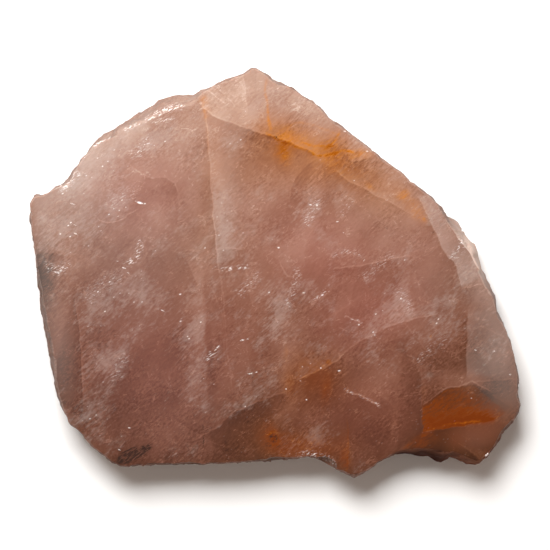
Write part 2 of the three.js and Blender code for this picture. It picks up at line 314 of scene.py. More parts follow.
# Cloudy and clear patches.
PATCHES = [
    (4, -64, -71, 16, 12),
    (2.5, 32, 8, 18, 16),
    (2, 0, 4, 20, 24),
    (-3.5, 48, -9, 16, 16),
    (-3.5, -64, -8, 14, 16),
    (3, -15, 73, 14, 6, 20),
    (-3, -80, 41, 10, 10),
    (-5, -16, 42, 8, 18),
    (-7, -21, 6, 5, 10),
    (-7, -30, 50, 16, 8),
    (-6, -47, 55, 10, 6, 30),
    (-5, -56, 47, 10, 6, 30),
    (5, -32, 73, 14, 5, 20),
    (4, -16, 72, 12, 6, 20),
    (3, 0, 72, 14, 6),
    (-8, -77, 41, 14, 10, 40),
    (-6, -72, 12, 8, 14),
    (5, -64, 16, 8, 8),
    (-7, -54, 14, 12, 10),
    (-3, -54, -22, 50, 50),
    (-2.5, -32, -38, 20, 22),
    (-4, 16, -40, 18, 18),
    (-2.5, 24, 24, 70, 18),
    (-10, 0, 53, 18, 16),
    (-6, 26, 42, 30, 10, -20),
    (15, 13, 60, 22, 14, -22),
    (10, 21, 56, 10, 6, -30),
    (5, 12, 67, 12, 6, -20),
    (-8, -8, 57, 10, 6),
    (-7, -9, 63, 16, 12),
    (-10, 2, 57, 12, 9),
    (-6, 2, 68, 22, 9),
    (-6, -8, 50, 16, 12),
    (-6, 2, 42, 38, 14),
    (-8, 24, 52, 5, 5),
    (-8, 32, 44, 8, 5, -20),
    (-6, 18, 40, 20, 7),
    (4, 30, 52, 12, 10, -30),
    (-4, 96, -24, 8, 24),
    (-7, -92, -4, 8, 44),
    (-5, -86, -34, 14, 30),
    (3, -96, 2, 4, 24),
    (-6, -95, 20, 6, 16),
    (8, -80, 44, 26, 26, 45),
    (7, -58, 58, 24, 9, 35),
    (-8, -92, -30, 14, 44, 8),
    (-20, -95, -1, 12, 20, 5),
    (4, -19, 32, 6, 32, -4),
    (3, -32, -20, 8, 60, -1),
    (-6, -80, 26, 20, 14, 30),
    (-5, -44, 28, 22, 18, 10),
    (-6, -62, 24, 18, 13, 30),
    (-3, -45, 33, 11, 6, -15),
    (-4, -34, 46, 8, 9, 20),
    (-5, -40, 4, 12, 14),
    (-6, -73, -5, 13, 13),
    (-4, -1, 25, 16, 16),
    (-5, -46, -30, 24, 24),
    (-5, -60, -48, 22, 20),
    (-5, 24, -2, 34, 12),
    (-3, -2, 54, 10, 10),
    (-3, -10, 68, 18, 14, 20),
    (-3, 3, 44, 14, 10),
    (-6, 22, 30, 22, 14, 10),
    (-7, 28, 47, 40, 16, -32),
    (5, 42, 16, 26, 12, 10),
    (2, 56, 8, 22, 12),
    (3, 10, 8, 14, 16),
    (7, -14, -6, 10, 16),
    (4, 80, -6, 12, 16, 12),
    (6, 5, -40, 5, 34),
    (6, -46, -60, 16, 12),
    (5, 4, -56, 10, 10),
    (-16, -97, 0, 8, 36, 6),
    (-6, -84, 38, 10, 12, -40),
    (5, -96, -40, 5, 20, 10),
    (5, 49, -36, 14, 12),
    (-5, 24, -24, 34, 14, 20),
    (5, -34, -64, 20, 18),
    (-5, 62, -72, 12, 10),
    (-4, 48, -8, 16, 12),
    (4, 40, 11, 22, 8),
    (4, 50, 25, 16, 7, -30),
    (-5, 24, 4, 60, 7, 40),
    (-10, 84, -26, 16, 36),
    (4, 40, -50, 22, 14),
    (-5, 32, -68, 22, 18),
    (-4, 56, -44, 8, 22),
    (-9, 17, -45, 20, 16),
    (-5, 84, -38, 20, 10),
    (5, -66, -38, 9, 12, 10),
    (-5, 0, -72, 16, 12),
    (4, 32, -75, 18, 10),
    (3, 14, -58, 14, 10),
    (3, 47, -40, 10, 14),
    (4, -47, -71, 18, 10),
    (-6, -62, 6, 34, 36),
    (-7, 34, 42, 34, 10, -38),
    (-20, 14, 57, 24, 11, -20),
    (5, 33, 54, 12, 10, -30),
]

# Smooth shades of the clear corner.
CORNER_SHADES = [
    (-12, 96, -58, 15, 20),
    (13, 77, -44.4, 14, 8),
    (-6, 87, -49, 9, 7),
    (-5, 91, -49, 7, 10),
    (-16, 82, -65.6, 22, 9, -6),
    (-14, 80, -68.6, 16, 7, -10),
    (-24, 62, -68.6, 12, 7, 35),
    (18, 84, -72.6, 12, 6, -40),
    (-10, 68, -58, 26, 16, 20),
    (-12, 87, -69, 12, 10, 50),
    (5, 78, -65, 12, 6, -20),
    (-5, 92, -48, 12, 6),
]

# Broad soft streaks that fan out downwards from the crown.
STREAKS = [
    (5, [(-71, 52), (-75, 32), (-79, 12), (-85, -14)], band(8, 7), 12),
    (5, [(-38, 54), (-46, 33), (-50, 20), (-55, 8), (-62, -18)], band(7, 7), 12),
    (3, [(-38, 60), (-36, 40), (-32, 20)], band(5, 5), 10),
    (4, [(-24, 30), (-28, 8), (-31, -20), (-31, -60)], band(6, 4), 14),
    (4, [(18, 48), (13, 20), (5, 0), (5, -44)], band(6, 6), 14),
    (3.5, [(56, 14), (54, 2), (51, -24)], band(5, 5, 1), 8),
    (-3, [(36, 30), (38, 10), (34, -14), (26, -40)], band(9, 9, 3), 14),
]

# Healed fractures and the edges of clear panels.
FRACTURES = [
    # golden hairs in the stained corner
    (34, [(60, -65.6), (66, -62.6), (72, -61.6), (78, -61), (85, -60.4)], hair(1.1)),
    (12, [(64, -61.6), (70, -58), (78, -52)], hair(1.2)),
    # the long pale line down from the rim, with a brighter hair on it
    (12, [(-29, 70), (-27.4, 58), (-26, 43), (-25, 28), (-23.6, 12), (-21.6, -4)], hair(0.45), 8),
    (8, [(-22, 0), (-21.4, -6), (-19.6, -26), (-16.6, -50)], hair(0.45), 6),
    (-5, [(-27.4, 60), (-26, 43), (-25, 28), (-23.6, 12), (-21.6, -2)],
     [(-6, 0), (-0.5, 0.9), (-0.2, 0)], 8),
    (7, [(-29, 64), (-27.4, 56), (-26, 43), (-25, 28)], [(0.1, 0), (0.4, 1), (3, 0.8), (6, 0)], 8),
    # the crown's lower edge: pale above, darker below
    (11, CROWN_EDGE, veil(20, 1, 0.9), 3, SHARP),
    (10, CROWN_EDGE[:-1], hair(0.7), 3, SHARP),
    (-11, [*CROWN_EDGE[:1:-1], (-27, 64)], veil(16), 3, SHARP),
    (9, [(-13, 81), (-11.6, 72), (-11, 62)], hair(0.5)),
    (6, [(-11, 62), (-11.6, 72), (-13, 81)], veil(6, 0.5, 1)),
    (-8, [(4, 78), (7.4, 73), (4.6, 69), (9, 66)], hair(1.5)),
    # small steps at the left of the crown
    (12, [(-29, 75), (-24.4, 71.4), (-19, 67.4)], hair(0.5), 2),
    (-8, [(-26.6, 76), (-22, 72.8), (-17.4, 69.8)], hair(0.5), 2),
    (10, [(-24, 75.6), (-20, 71.6), (-15.6, 66)], hair(0.4), 2),
    (-6, [(-31, 70), (-27, 68.5), (-22, 65.6)], hair(0.6), 2),
    # the pale tongue right of the iron stain
    (14, [(30, 45.2), (33, 44.9), (36.5, 45.6), (40.5, 47.2)], veil(8), 1.5),
    (-7, CROWN_BEND, veil(14, 1, 0.8)),
    (6, CROWN_BEND[::-1], veil(8, 0.7, 0.5)),
    # the pale sheet that runs down to the right-hand rim
    (9, PALE_SHEET, veil(15, 0.9, 0.6), 4),
    (6, PALE_SHEET[:-1], hair(0.5), 4),
    (-6, PALE_SHEET[-2:0:-1], veil(12, 0.4, 0.6), 4),
    # small arcs on the left
    (11, [(-57.5, 42.5), *LEFT_ARC, (-38.5, 31.5)], hair(0.4), 2, SHARP),
    (6, [(-64, 48), (-59, 43.4), (-54, 39.8)], hair(0.6), 2),
    (-10, [(-38.8, 31), *LEFT_ARC[::-1]], veil(16, 0.8, 0.9), 2, SHARP),
    (18, LEFT_BOWL, hair(0.4), 2, SHARP),
    (-5, LEFT_BOWL[:0:-1], veil(6, 0.5, 0.8), 2),
    (8, [(-43, 9), (-39, 8), (-33, 8.6), (-30, 7.4)], hair(0.5), 2),
    (-6, [(-29, 8.2), (-36, 8.7), (-43, 9)], veil(14, 0.4, 0.7), 2),
    (12, [(-24, 9), (-17, 9.4), (-12, 9.4)], hair(0.5), 1.5),
    (-10, [(-11, 9.4), (-17, 9.4), (-23, 8.8)], veil(14, 0.3, 0.7), 2),
    (7, [(-37, 8), (-35, 4), (-32.5, -2), (-30, -7)], veil(6, 1, 0.7)),
    (-4, [(-30, -7), (-32.5, -2), (-35, 4), (-37, 8)], veil(8, 0.5, 0.8)),
    # the dim panel low on the left, with its straight right-hand side
    (10, [(-77.4, -56), (-78, -38), (-79, -24), (-81, -8)], hair(0.35), 5),
    (-4, [(-78, -56), (-78.6, -38), (-79.6, -24), (-81.4, -9)], hair(0.4), 5),
    (5, [(-97, 8.2), (-91, 7.6), (-84, 6.4)], veil(7, 0.6, 0.4), 2),
    (-9, [(-84, 6.4), (-91, 7.6), (-98, 8.2)], veil(12, 0.4, 0.9), 2),
    # the clear strip right of the upright cloudy band
    (-5, [(-30.5, 14), (-29, 0), (-27.4, -30), (-27, -58)], veil(7, 0.4, 0.9), 10),
    (6, [(-20.6, -36), (-21, -20), (-24, -10), (-27, -4)], hair(0.5), 4),
    # the wavy pale line above the foot
    (12, FOOT_WAVE, hair(0.5), 4, SHARP),
    (-9, [(4, -48.6), *FOOT_WAVE[-3:0:-1]], veil(17, 0.8, 0.9), 2, SHARP),
    # an open V and the lines round the middle
    (14, [(1.4, 5.6), (4, 0.6), (6.7, -2.1), (9.4, 0.2), (11.6, 4)], hair(0.6), 2),
    (6, [(12.2, 1), (12.3, 9), (14.6, 15.4), (19, 18.8), (27, 20.2)], veil(5, 0.8, 0.5)),
    (16, MIDDLE_CREASE, hair(0.5), 4),
    (6, MIDDLE_CREASE, veil(9, 0.3, 0.7), 4),
    (-6, MIDDLE_CREASE[::-1], veil(12, 0.4, 0.7), 6),
    (4, [(57, 6.8), (61, 11), (65, 16)], veil(6, 0.4, 0.6), 2),
    (24, [(28.5, -18.2), (31.5, -19.4), (35, -21.2)], hair(0.4), 1),
    (16, [(25.4, -22.6), (28, -23.2), (30, -24.6)], hair(0.4), 1),
    # the curved wall between the pink body and the glassy right-hand part
    (7, CURVED_WALL, hair(0.5), 2),
    (3, GLASSY_SIDE, veil(16, 0.5, 0.7), 2),
    (-6, CURVED_WALL[2:-2], veil(12, 0.2, 0.6), 2),
    (12, [(75.2, -6.6), (80, -5.8), (86, -4.6)], hair(0.5), 1.5),
    (-6, [(86, -4.6), (80, -5.8), (75.2, -6.6)], veil(10, 0.3, 0.7), 2),
    # the long pale diagonal and what branches from it
    (10, DIAGONAL, hair(0.55), 4, SHARP),
    (6, DIAGONAL, veil(9, 0.9, 0.6), 4, SHARP),
    (-5, [*DIAGONAL[-3:1:-1], DIAGONAL[0]], veil(22, 0.5, 0.8), 4, SHARP),
    (6, BRANCH, hair(0.5), 2),
    (-4, BRANCH[::-1], veil(11, 0.3, 0.6)),
    (5, [(42, -28.4), (50, -33), (58, -37.6), (64, -41)], hair(0.5)),
    (24, SHORT_SCAR, hair(0.5), 1.5),
    (6, SHORT_SCAR, veil(9, 0.2, 0.6)),
    (-6, SHORT_SCAR[::-1], veil(12, 0.2, 0.8)),
    (7, [(10, -18.4), (16, -13), (22, -8.4), (31, -2)], veil(4, 1, 0.4), 4),
    (-4, [(31, -2), (22, -8.4), (16, -13), (10, -18.4)], veil(8, 0.2, 0.7), 4),
    (5, [(8, -30), (16, -24), (26, -16), (38, -8)], hair(0.9), 5),
    # upright edges on the lower right
    (5, [(59.4, -64), (59.8, -53.6), (59.6, -43), (59, -36)], hair(0.5)),
    (-5, [(78, -46), (78, -30), (78.6, -14)], veil(9, 0.2, 0.7), 6),
    (3, [(78.6, -14), (78, -30), (78, -44)], veil(10, 0.6, 0.4), 6),
    (8, [(84, -22), (90, -24.8), (95, -28)], hair(0.5), 1.5),
    (15, CORNER_TOP, hair(0.6), 1, SHARP),
    (-9, CORNER_TOP[::-1], veil(12, 0.3, 0.8), 1, SHARP),
    (9, [(80, -44.6), (84, -44.6), (90, -44), (98, -43.4)], hair(0.5), 1, SHARP),
    (-7, [(98, -43.4), (90, -44), (84, -44.6), (80, -44.6)], veil(12, 0.3, 0.7), 1, SHARP),
    (6, [(67, -64), (73, -68.4), (79, -73), (86, -79)], hair(0.5), 2),
]

# Panels seen clear through to the dark, and pale ones: strength, corners, and how soft their sides are.
PANELS = [
    (-20, [(67.4, -64.8), (66.4, -71), (66.4, -80), (89, -80)], 0.4),
    (-14, [(67, -64), (50, -74), (52, -80), (66.4, -80)], 0.5),
    (-5, [(68, -64), (87, -78.6), (95, -69), (93, -61.4)], 0.5),
    (-8, [(60, -54.6), (60, -64.6), (88, -60.6), (96, -55), (80.4, -45.6), (70, -47.4)], 0.4),
    (-8, [(-81, -7), (-92, -50), (-77.6, -60), (-78.6, -30)], 0.9),
    (-4, [(52, -30), (49.4, -72), (60, -66), (59.8, -44), (56.4, -36)], 0.8),
    (3, [(60, -36), (60, -54.4), (65, -50.4), (70, -46.8), (70, -39)], 0.6),
    (3, [(75.5, -6.8), (74.2, 2), (84, 0), (86, -4.6)], 0.4),
]

# Banks of silk, and places free of it.
SILK_BANKS = [
    (3, 57, -4, 28, 24, 40),
    (4, -50, -20, 70, 90),
    (26, -74, 44, 26, 18, 48),
    (18, -46, 54, 18, 12, 50),
    (22, -68, 24, 22, 8, 40),
    (24, -72, -12, 18, 10, 45),
    (20, -56, -8, 14, 10, 45),
    (18, -66, -38, 11, 12, 40),
    (8, -74, -58, 10, 10, 40),
    (18, -34, -34, 9, 34),
    (22, 14, 24, 10, 16, 10),
    (26, 2, -14, 8, 22),
    (22, 15, -65, 10, 7, 30),
    (20, 52, -14, 7, 20, 5),
    (20, 68, -18, 16, 9, 45),
    (12, 48, -40, 5, 16, 3),
    (-16, 56, -58, 40, 30),
    (-14, 88, -46, 20, 30),
    (14, 88, -32, 9, 10),
    (12, -14, 52, 14, 8),
    (30, -9, 63, 7, 16, -20),
    (20, -84, 20, 18, 14, 45),
    (10, -22, 4, 10, 14),
    (-20, 38, 22, 20, 12, 20),
    (-25, -46, 33, 11, 7, -15),
    (-30, -84, -36, 8, 26, 5),
    (-40, -14, -68, 22, 14, 10),
    (-80, 76, -60, 34, 20),
    (-50, 94, -54, 14, 16),
    (-20, 40, -68, 16, 14),
    (-15, 28, -40, 12, 16),
    (-20, -46, -60, 18, 16),
    (-25, 6, 44, 14, 12),
    (-30, 12, 60, 24, 14, -20),
    (-20, 34, -10, 12, 10, 20),
    (-60, -58, -75, 14, 7, 25),
    (-40, -44, -77, 20, 6),
    (-14, -48, -48, 20, 30),
    (-20, 30, -50, 30, 22),
    (-16, 70, -36, 14, 10),
    (-20, -50, 34, 20, 16),
    (16, -44, 24, 16, 8, 40),
    (16, 16, 28, 9, 12, 40),
    (14, 28, 26, 9, 9, 40),
]

# Banks of silk that end at a fracture.
SILK_VEILS = [
    (13, [(-27, -66), (-27.4, -44), (-28, -22), (-30, 0), (-32, 14)], veil(8, 0.5, 1), 20),
    (20, [(-22.6, -2), (-24.5, 20), (-25.3, 35), (-26.6, 48)],
     [(-9, 0), (-5, 0.6), (-0.2, 0.9), (0.1, 0)], 10),
    (16, DIAGONAL, veil(10, 0.9, 1), 4, SHARP),
    (10, PALE_SHEET, veil(12, 0.9, 1), 4),
]

# Where the stone is evenly grey.
GREY_PATCHES = [
    (5, 64, -6, 18, 26),
    (-6, 82, -26, 12, 20),
    (26, -86, 40, 24, 30, 30),
    (20, -60, 60, 24, 8, 35),
    (12, -93, 4, 10, 34),
    (14, -88, -30, 11, 40, 5),
    (16, -14, 68, 24, 14, 20),
    (9, -20, 28, 9, 36, -3),
    (15, -59, 57, 14, 7, 30),
    (15, -64, 49, 11, 6, 30),
    (12, -95, 24, 8, 26),
    (10, -64, 20, 50, 60),
    (20, 92, -30, 20, 40),
    (16, 84, -2, 14, 24, 12),
    (12, 83, -66, 18, 9, 10),
    (8, 95, -52, 14, 14),
]
GREY_FRACTURES = [
    (20, GLASSY_SIDE, veil(16, 0.9, 1), 2),
    (10, [(78.6, -14), (78, -30), (78, -44)], veil(24, 0.9, 1), 4),
]

# Where the stone is pinkest.
ROSE_PATCHES = [
    (15, 12, 14, 40, 44, 20),
    (13, 34, 2, 44, 30),
    (12, 30, -22, 44, 20, 20),
    (16, -52, 32, 34, 30, 10),
    (8, -14, -24, 30, 44),
    (7, -50, -30, 50, 50),
    (7, 60, 8, 20, 30),
    (14, 34, -56, 50, 34),
    (10, 48, -20, 40, 24),
]

# Where the pink leans to mauve.
MAUVE_PATCHES = [
    (9, -60, -36, 56, 76),
    (5, -34, -56, 36, 50),
    (5, -60, 20, 40, 40),
]

# A warm breath of iron over whole regions.
IRON_BREATH = [
    (10, -6, 53, 28, 26),
    (10, 6, 41, 48, 14),
    (6, -8, 63, 16, 10),
    (42, 84, -66, 24, 16),
    (16, 72, -70, 10, 10),
    (7, 92, -54, 12, 22),
    (15, 16, -50, 30, 34),
    (13, 36, -62, 30, 30),
    (16, 74, -60, 40, 22),
    (10, 94, -54, 12, 14),
    (15, 2, -62, 18, 26),
    (18, -12, -68, 22, 14, 10),
    (26, 36, 40, 44, 17, -38),
    (12, 16, 42, 16, 12),
    (26, 1, 53.4, 20, 15, -18),
    (8, 14, 53, 22, 9, -18),
    (12, 16, 38, 60, 26, -10),
    (12, -18, 68, 26, 14, 20),
    (10, -26, 36, 8, 50, -3),
    (36, 16, -42, 20, 18),
    (42, 15, -72, 26, 12),
]

# Iron stain.
IRON_PATCHES = [
    # the crown's stains, one beside the corner, and those down the right-hand slope
    (10, 12, 55, 32, 12, -16),
    (4, 4, 55.4, 14, 6, -22),
    (12, 12, 52, 9, 5, -22),
    (10, 24, 45, 16, 8, -30),
    (42, 60, -69.5, 12, 7, 35),
    (34, 4, 50, 6, 11),
    (16, 4.4, 48.6, 2.4, 6),
    (11, 24, 49.4, 14, 7, 10),
    (10, 24, 53, 9, 7, 40),
    (5, 23, 48.6, 9, 3, -4),
    (3, 12, 60, 30, 10, -18),
    (26, 35, 47.8, 9, 3.4),
    (8, 27, 43, 12, 9, -45),
    (20, 39, 34.4, 4, 2.4, -30),
    (16, 59, 23, 5, 5, 40),
    (26, 61, 21.4, 2, 3.4, 30),
    (22, 56, 27, 14, 6, -50),
    (30, 52, 31, 4, 3),
    (36, -29, 70, 3.6, 3.4),
    (24, -28, 65, 3, 6),
    # small ones in the middle and at the foot
    (20, 4.6, -33, 1.6, 5),
    (16, 6, -46, 4, 8),
    (40, 22, -36.6, 2.4, 1.6, 10),
    (20, 21, -48, 3.4, 12, -8),
    (30, 29, -77, 4.4, 8),
    (45, -0.6, -67.4, 4.4, 5.4, 10),
    (20, -3, -64, 8, 9),
    (40, 63.7, -26.4, 0.9, 1.6),
    (20, 2, -71, 14, 10),
]

# The stained corner, and the panel that its stain fills.
CORNER_STAIN = [
    (40, 66, -57, 26, 28, 20),
    (26, 76, -61.4, 34, 5, 5),
    (24, 79, -54, 26, 20),
]
CORNER_PANEL = [(60, -54.6), (60, -64.6), (88, -60.6), (94, -57), (80.4, -45.6), (70, -47.4)]

# Iron stain along fractures.
IRON_LINES = [
    (17, [(-29.6, 72), (-28.4, 64), (-27.2, 56), (-26.6, 46)], hair(0.9), 4),
    (34, [(-2.6, 80), (-3.8, 74), (-2.8, 69), (-2.6, 63), (-1.6, 56)], hair(1)),
    (30, [(-4, 56.6), (0, 54.2), (4, 52.6), (9.6, 50.6), (17, 47.7)], hair(1), 2),
    (32, [(14, 48.8), (18, 47), (24, 48), (29, 49), (34, 48)], hair(1)),
    (30, [(10, 53), (17, 51), (24, 51.4), (27, 53)], hair(0.8)),
    (30, [(19, 49), (24, 53), (27, 58)], hair(0.8), 2),
    (14, [(3, 57), (10, 60.4), (20, 58), (26.6, 55)], hair(0.8)),
    (36, CORNER_FOOT, hair(1.9)),
    (34, [*CORNER_FOOT[:1:-1], (60, -65.8)], [(-7, 0), (-3, 0.6), (-0.2, 1), (0.2, 0)]),
    (30, [(51, -72.4), (56, -69.4), (62, -65)], hair(1.4), 2),
    (22, [(29.4, -83), (29.8, -70), (29.6, -58)], hair(0.7), 4),
    (14, [(29.6, -60), (29.8, -70), (29.4, -83)], [(-5, 0), (-0.3, 1), (0.2, 0)], 6),
    (16, [(59.8, -64), (59.8, -44)], [(-9, 0), (-0.3, 1), (0.2, 0)], 4),
]

# Dark iron-brown marks, and small chips along the lower edge, darkened in the last five rows.
DARK_MARKS = [
    (150, -59, -74.8, 7, 3, 24),
    (140, -54, -72.8, 6, 2.4, 34),
    (90, -62.6, -76.4, 2.6, 1.6, 50),
    (90, -58, -72.4, 4, 1.2, 30),
    (80, -28.8, -69, 0.35, 2.4),
    (50, -29, -63, 0.3, 2),
    (80, 0.8, 54.5, 1.4, 0.6, -20),
    (40, 18.4, 46.8, 1, 0.4, -10),
    (70, -0.4, -67.4, 2.6, 2, 20),
    (60, -2.6, -70, 1.6, 1.2),
    (50, 1.4, -70.6, 1.4, 0.9),
    (50, 45.2, 17.8, 0.7, 0.6),
    (70, 64.6, 15.8, 0.6, 0.6),
    # small chips along the lower edge, darkened
    (50, 20.4, -75.4, 2, 0.7, -30),
    (50, 12, -77, 3, 0.8, 10),
    (60, -4, -76.4, 5, 1, 5),
    (60, -43, -78, 4, 0.6),
    (50, -32, -78, 7, 0.5),
]

# Painted highlights of flakes where a cleft catches the light: x, y, length, breadth and turn.
LARGEST_FLAKE = (-55, 28.2, 2.3, 0.48, -22)
FLAKE_SHINE = 62  # of each of the others, against 100 for the largest
FLAKES = [
    (-52.6, 27.4, 0.97, 0.32, -10),
    (-85, 34.2, 1.4, 0.58, 20),
    (-86.6, 35, 0.73, 0.32, 60),
    (-82, 27.6, 1.3, 0.32, -20),
    (-81, 19, 0.81, 0.22, -15),
    (-80.6, 15.4, 1.3, 0.26, -20),
    (-88, -0.2, 1.3, 0.38, -10),
    (-61, 1.6, 0.97, 0.38, -25),
    (-63.8, 4.4, 0.48, 0.32),
    (-59.4, -0.6, 0.56, 0.26),
    (-54.6, 12.6, 0.73, 0.26, 10),
    (-55.6, 8.4, 0.56, 0.26),
    (-38, -9.1, 0.65, 0.32),
    (-38, -20.5, 0.56, 0.32, 20),
    (-45.4, -15.8, 0.97, 0.22, -25),
    (-22.8, -30.2, 1, 0.29, 45),
    (-25.6, -34, 0.89, 0.22, 40),
    (-26.8, -35.6, 0.65, 0.2, 40),
    (-13, -27.6, 1.3, 0.32, 6),
    (-10.6, -27.2, 0.48, 0.2),
    (-10, -41.2, 1.4, 0.26, 16),
    (-7.4, -40.6, 0.73, 0.2, 10),
    (-24.8, -45.6, 0.56, 0.22, 10),
    (-59, -63, 0.81, 0.32, -10),
    (-62.8, -72.4, 0.89, 0.26, -20),
    (14.6, 27.2, 0.73, 0.32),
    (25.4, 20.2, 0.73, 0.26, 10),
    (1.8, 10, 0.65, 0.32, 20),
    (36.4, 5, 0.56, 0.32, 60),
    (28, 16, 0.4, 0.2),
    (17.4, -10.4, 0.81, 0.32, 60),
    (19.4, -9.4, 0.81, 0.26, 20),
    (12, -8.4, 0.81, 0.26, 20),
    (34.2, -21.6, 0.48, 0.26),
    (26, -40, 0.65, 0.32),
    (11.4, -38.6, 0.4, 0.26),
    (18.8, -39.2, 0.4, 0.26),
    (10.4, -44.2, 0.4, 0.22),
    (12.8, -51.6, 0.56, 0.29),
    (4.6, -47.6, 0.48, 0.32),
    (81.4, -31.6, 0.65, 0.38),
    (88.8, -32.4, 0.65, 0.44, 30),
    (95.6, -41.8, 0.56, 0.44),
    (79.8, -51.2, 0.4, 0.26),
    (37.4, 48.8, 0.73, 0.44),
    (28.4, 56.8, 0.48, 0.32),
]

# Rows of small clefts, painted as highlights that flash white.
GLINT_ROWS = [
    (125, [(-54, 61.8), (-49, 64.4), (-43, 66.8), (-36, 68)],
     [(-2.8, 0), (-0.6, 1), (0.8, 0.9), (3.2, 0)]),
    (100, [(-62, 57), (-58, 59), (-54, 61)], hair(1.6), 2),
    (110, [(-50, 60), (-45, 61.4), (-40, 63)], hair(1.4), 2),
    (120, [(-74.4, 50.6), (-71, 53), (-67, 55.6)], hair(1.6), 1.5),
    (110, [(-88, 32), (-85, 34), (-82, 37), (-79, 41)], hair(2), 1),
    (80, [(-60, 46), (-54, 50), (-50, 56)], hair(3)),
    (100, [(-22, 1), (-16, 1.6), (-10, 2.4)], hair(1.2), 1),
    (90, [(-61, 2), (-58, 4), (-55, 8), (-54, 13)], hair(2), 2),
    (80, [(-28, -36), (-25, -33), (-22, -29)], hair(2), 1),
    (70, [(8, -75), (14, -74), (20, -75), (26, -78)], hair(1.8), 2),
    (60, [(12, 18), (15, 24), (18, 30)], hair(3), 2),
    (50, [(4, -16), (8, -6), (10, 3)], hair(2.5)),
    (90, [(71, 4), (74, 8), (76, 12), (76, 18)], hair(2.4), 2),
    (80, [(-94, 3), (-88, 1), (-82, 3)], hair(3), 2),
    (60, [(28, -47.6), (33, -49.6), (38, -51.6), (43, -55)], hair(0.9), 1),
    (50, [(28, -18), (31.5, -19.4), (36, -21.6)], hair(0.7), 1),
    (30, [(-70, 26), (-62, 30), (-54, 34)], hair(4), 5),
    (30, [(26, 22), (29, 26), (32, 31)], hair(2.4), 2),
    (30, [(56, -38), (64, -31), (72, -26)], hair(3)),
    (30, [(-66, -46), (-62, -38), (-58, -32)], hair(4), 4),
    (30, [(-80, -12), (-70, -6), (-60, 0)], hair(5), 5),
    (50, [(-16, -10), (-10, -5), (-5, 0)], hair(3)),
    (60, [(16, -12), (19, -9), (22, -7)], hair(1.2), 1),
    (40, [(48, -6), (52, -10), (56, -18)], hair(3)),
    (40, [(22, 4), (28, 8), (37, 6)], hair(2)),
    (30, [(34, -4), (42, 2), (50, 9)], hair(3), 4),
]


def quartz_body():
    """The stone's colour, all the way down through it, and painted highlights on the clefts near its polished
    face.
    """
    tree = bpy.data.node_groups.new("rose_quartz_body", "ShaderNodeTree")
    for name, kind in (("Colour", "NodeSocketColor"), ("Glint", "NodeSocketFloat")):
        tree.interface.new_socket(name, in_out="OUTPUT", socket_type=kind)
    point = stone_place(tree)
    # fractures lean a little, so they shift sideways down the rim
    depth = add(tree, "Math", {0: reach(tree, point), 1: FACE_HEIGHT}, operation="SUBTRACT")
    leaned = add(tree, "VectorMath", {0: (0.4, -0.25, 0), 3: depth}, operation="SCALE")
    straight = add(tree, "VectorMath", {0: point, 1: leaned}, operation="ADD")

    # fracture lines waver, and clouds feather out along the needles in them
    waver = {"Vector": point, "Scale": 1 / 6, "Detail": 5, "Roughness": 0.6}
    waver = add(tree, "TexNoise", waver, "Color")
    waver = add(tree, "VectorMath", {0: waver, 1: (0.5, 0.5, 0.5)}, operation="SUBTRACT")
    wavering = {0: waver, 1: (2.4, 2.4, 0), 2: straight}
    wavering = add(tree, "VectorMath", wavering, operation="MULTIPLY_ADD")
    stroke = grain(tree, point, (4.2, 0.8, 2), 5, 0.62, turn=44, swirl=0.25)
    way = add(tree, "Math", {0: stroke, 1: 0.5}, operation="SUBTRACT")
    feather = add(tree, "VectorMath", {0: (17, 15, 0), 3: way}, operation="SCALE")
    feathered = add(tree, "VectorMath", {0: feather, 1: wavering}, operation="ADD")
    crisp, soft = Layout(tree, wavering), Layout(tree, feathered)

    cloud = add_cloud(tree, point, straight, crisp, soft)
    silk = add_silk(tree, point, crisp, soft, stroke)
    body = add_milk(tree, cloud, silk, crisp, soft)
    body = add_stain(tree, body, cloud, crisp)
    body = add_dark_marks(tree, body, point, crisp)
    glint = add_painted_glints(tree, point, depth, silk, crisp)
    # painted highlights: where the clefts flash, the colour is turned near white
    glinting = add(tree, "Mix", {0: glint, 6: body, 7: linear("#fbf6f3")}, 2, data_type="RGBA")

    output = tree.nodes.new("NodeGroupOutput")
    tree.links.new(glinting, output.inputs["Colour"])
    tree.links.new(glint, output.inputs["Glint"])
    return tree


def add_cloud(tree, point, straight, crisp, soft):
    """How cloudy the clear stone is, with painted light: paler towards the crown, where the lamp stands, and
    darker towards the foot.
    """
    # painted light: the rise in cloud towards the crown stands in for the lamp's light falling off towards
    # the foot
    up = reach(tree, straight, (0, 1, 0))
    cloud = add(tree, "Math", {0: up, 1: 0.0034, 2: 0.43}, operation="MULTIPLY_ADD")
    cloud = soft.total(cloud, soft.patch, PATCHES)
    cloud = soft.total(cloud, soft.fracture, STREAKS)
    cloud = crisp.total(cloud, crisp.fracture, FRACTURES)
    cloud = crisp.total(cloud, crisp.panel, PANELS)
    cloud = crisp.total(cloud, crisp.patch, CORNER_SHADES)
    return add_mottle(tree, point, crisp.place, cloud)


